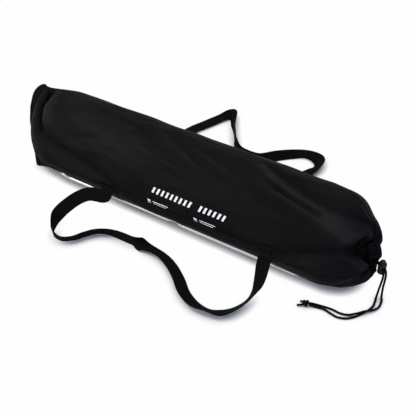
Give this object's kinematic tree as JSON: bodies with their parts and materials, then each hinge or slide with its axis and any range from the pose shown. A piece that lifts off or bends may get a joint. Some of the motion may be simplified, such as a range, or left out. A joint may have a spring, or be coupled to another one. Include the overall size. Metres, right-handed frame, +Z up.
{
  "type": "vehicle awning",
  "caption": "Awning packed in a black cylindrical drawstring bag that lies on its side, with two webbing carry handles, a cord lock and the rolled canopy, poles and pegs inside.",
  "frame": {"origin": "on the flat underside of the bag, below the middle of its length", "axes": "+X along the bag toward its gathered mouth, +Y toward the rear side, +Z up; the front handle and the print panel face -Y"},
  "size_m": [0.5996, 0.4105, 0.134],
  "materials": {
    "coated_bag_fabric": "satin",
    "webbing": "matte",
    "braided_cord": "matte",
    "moulded_plastic": "semi-gloss",
    "canopy_fabric": "matte",
    "bright_steel": "satin",
    "rubber": "matte",
    "cup_rubber": "satin"
  },
  "bodies": {
    "bag": {"bag_upper_panel": "coated_bag_fabric", "bag_base_panel": "coated_bag_fabric", "closed_end_seam_flange": "coated_bag_fabric", "front_seam_welt": "coated_bag_fabric", "rear_seam_welt": "coated_bag_fabric", "front_handle_sewn_end_closed": "webbing", "front_handle_sewn_end_mouth": "webbing", "rear_handle_sewn_end_closed": "webbing", "rear_handle_sewn_end_mouth": "webbing", "mouth_hem": "coated_bag_fabric", "drawstring_in_hem": "braided_cord", "pole_a_section_1": "bright_steel", "pole_a_section_2": "bright_steel", "pole_a_section_3": "bright_steel", "pole_a_section_4": "bright_steel", "pole_a_foot": "rubber", "pole_a_tip": "bright_steel", "pole_b_section_1": "bright_steel", "pole_b_section_2": "bright_steel", "pole_b_section_3": "bright_steel", "pole_b_section_4": "bright_steel", "pole_b_foot": "rubber", "pole_b_tip": "bright_steel", "canopy_roll": "canopy_fabric", "roll_tie_closed": "webbing", "roll_tie_mouth": "webbing", "ground_peg_1": "bright_steel", "ground_peg_2": "bright_steel", "ground_peg_3": "bright_steel", "ground_peg_4": "bright_steel", "suction_cup_1": "cup_rubber", "suction_cup_2": "cup_rubber", "suction_hook_1": "moulded_plastic", "suction_hook_2": "moulded_plastic"},
    "front_handle": {"front_handle_loop": "webbing"},
    "rear_handle": {"rear_handle_loop": "webbing"},
    "cord_lock": {"cord_lock_barrel": "moulded_plastic", "cord_lock_spring": "bright_steel", "drawstring_tail_a": "braided_cord", "drawstring_tail_b": "braided_cord", "drawstring_knot": "braided_cord"},
    "lock_plunger": {"cord_lock_plunger": "moulded_plastic"}
  },
  "joints": [
    {"name": "front_handle_swing", "type": "hinge", "parent": "bag", "child": "front_handle", "pos_m": [-0.117, -0.0652, 0.04797], "axis": [-1, 0.0078, -0.0062], "range_deg": [0, 110]},
    {"name": "rear_handle_swing", "type": "hinge", "parent": "bag", "child": "rear_handle", "pos_m": [-0.117, 0.0652, 0.04797], "axis": [1, 0.0078, 0.0062], "range_deg": [0, 130]},
    {"name": "cord_lock_slide", "type": "slide", "parent": "bag", "child": "cord_lock", "axis": [0.7071, -0.7071, 0], "range_m": [0, 0.01]},
    {"name": "plunger_press", "type": "slide", "parent": "cord_lock", "child": "lock_plunger", "axis": [0, 0, -1], "range_m": [0, 0.0035], "stiffness_N_per_m": 400, "deforming": ["cord_lock_spring"]}
  ]
}
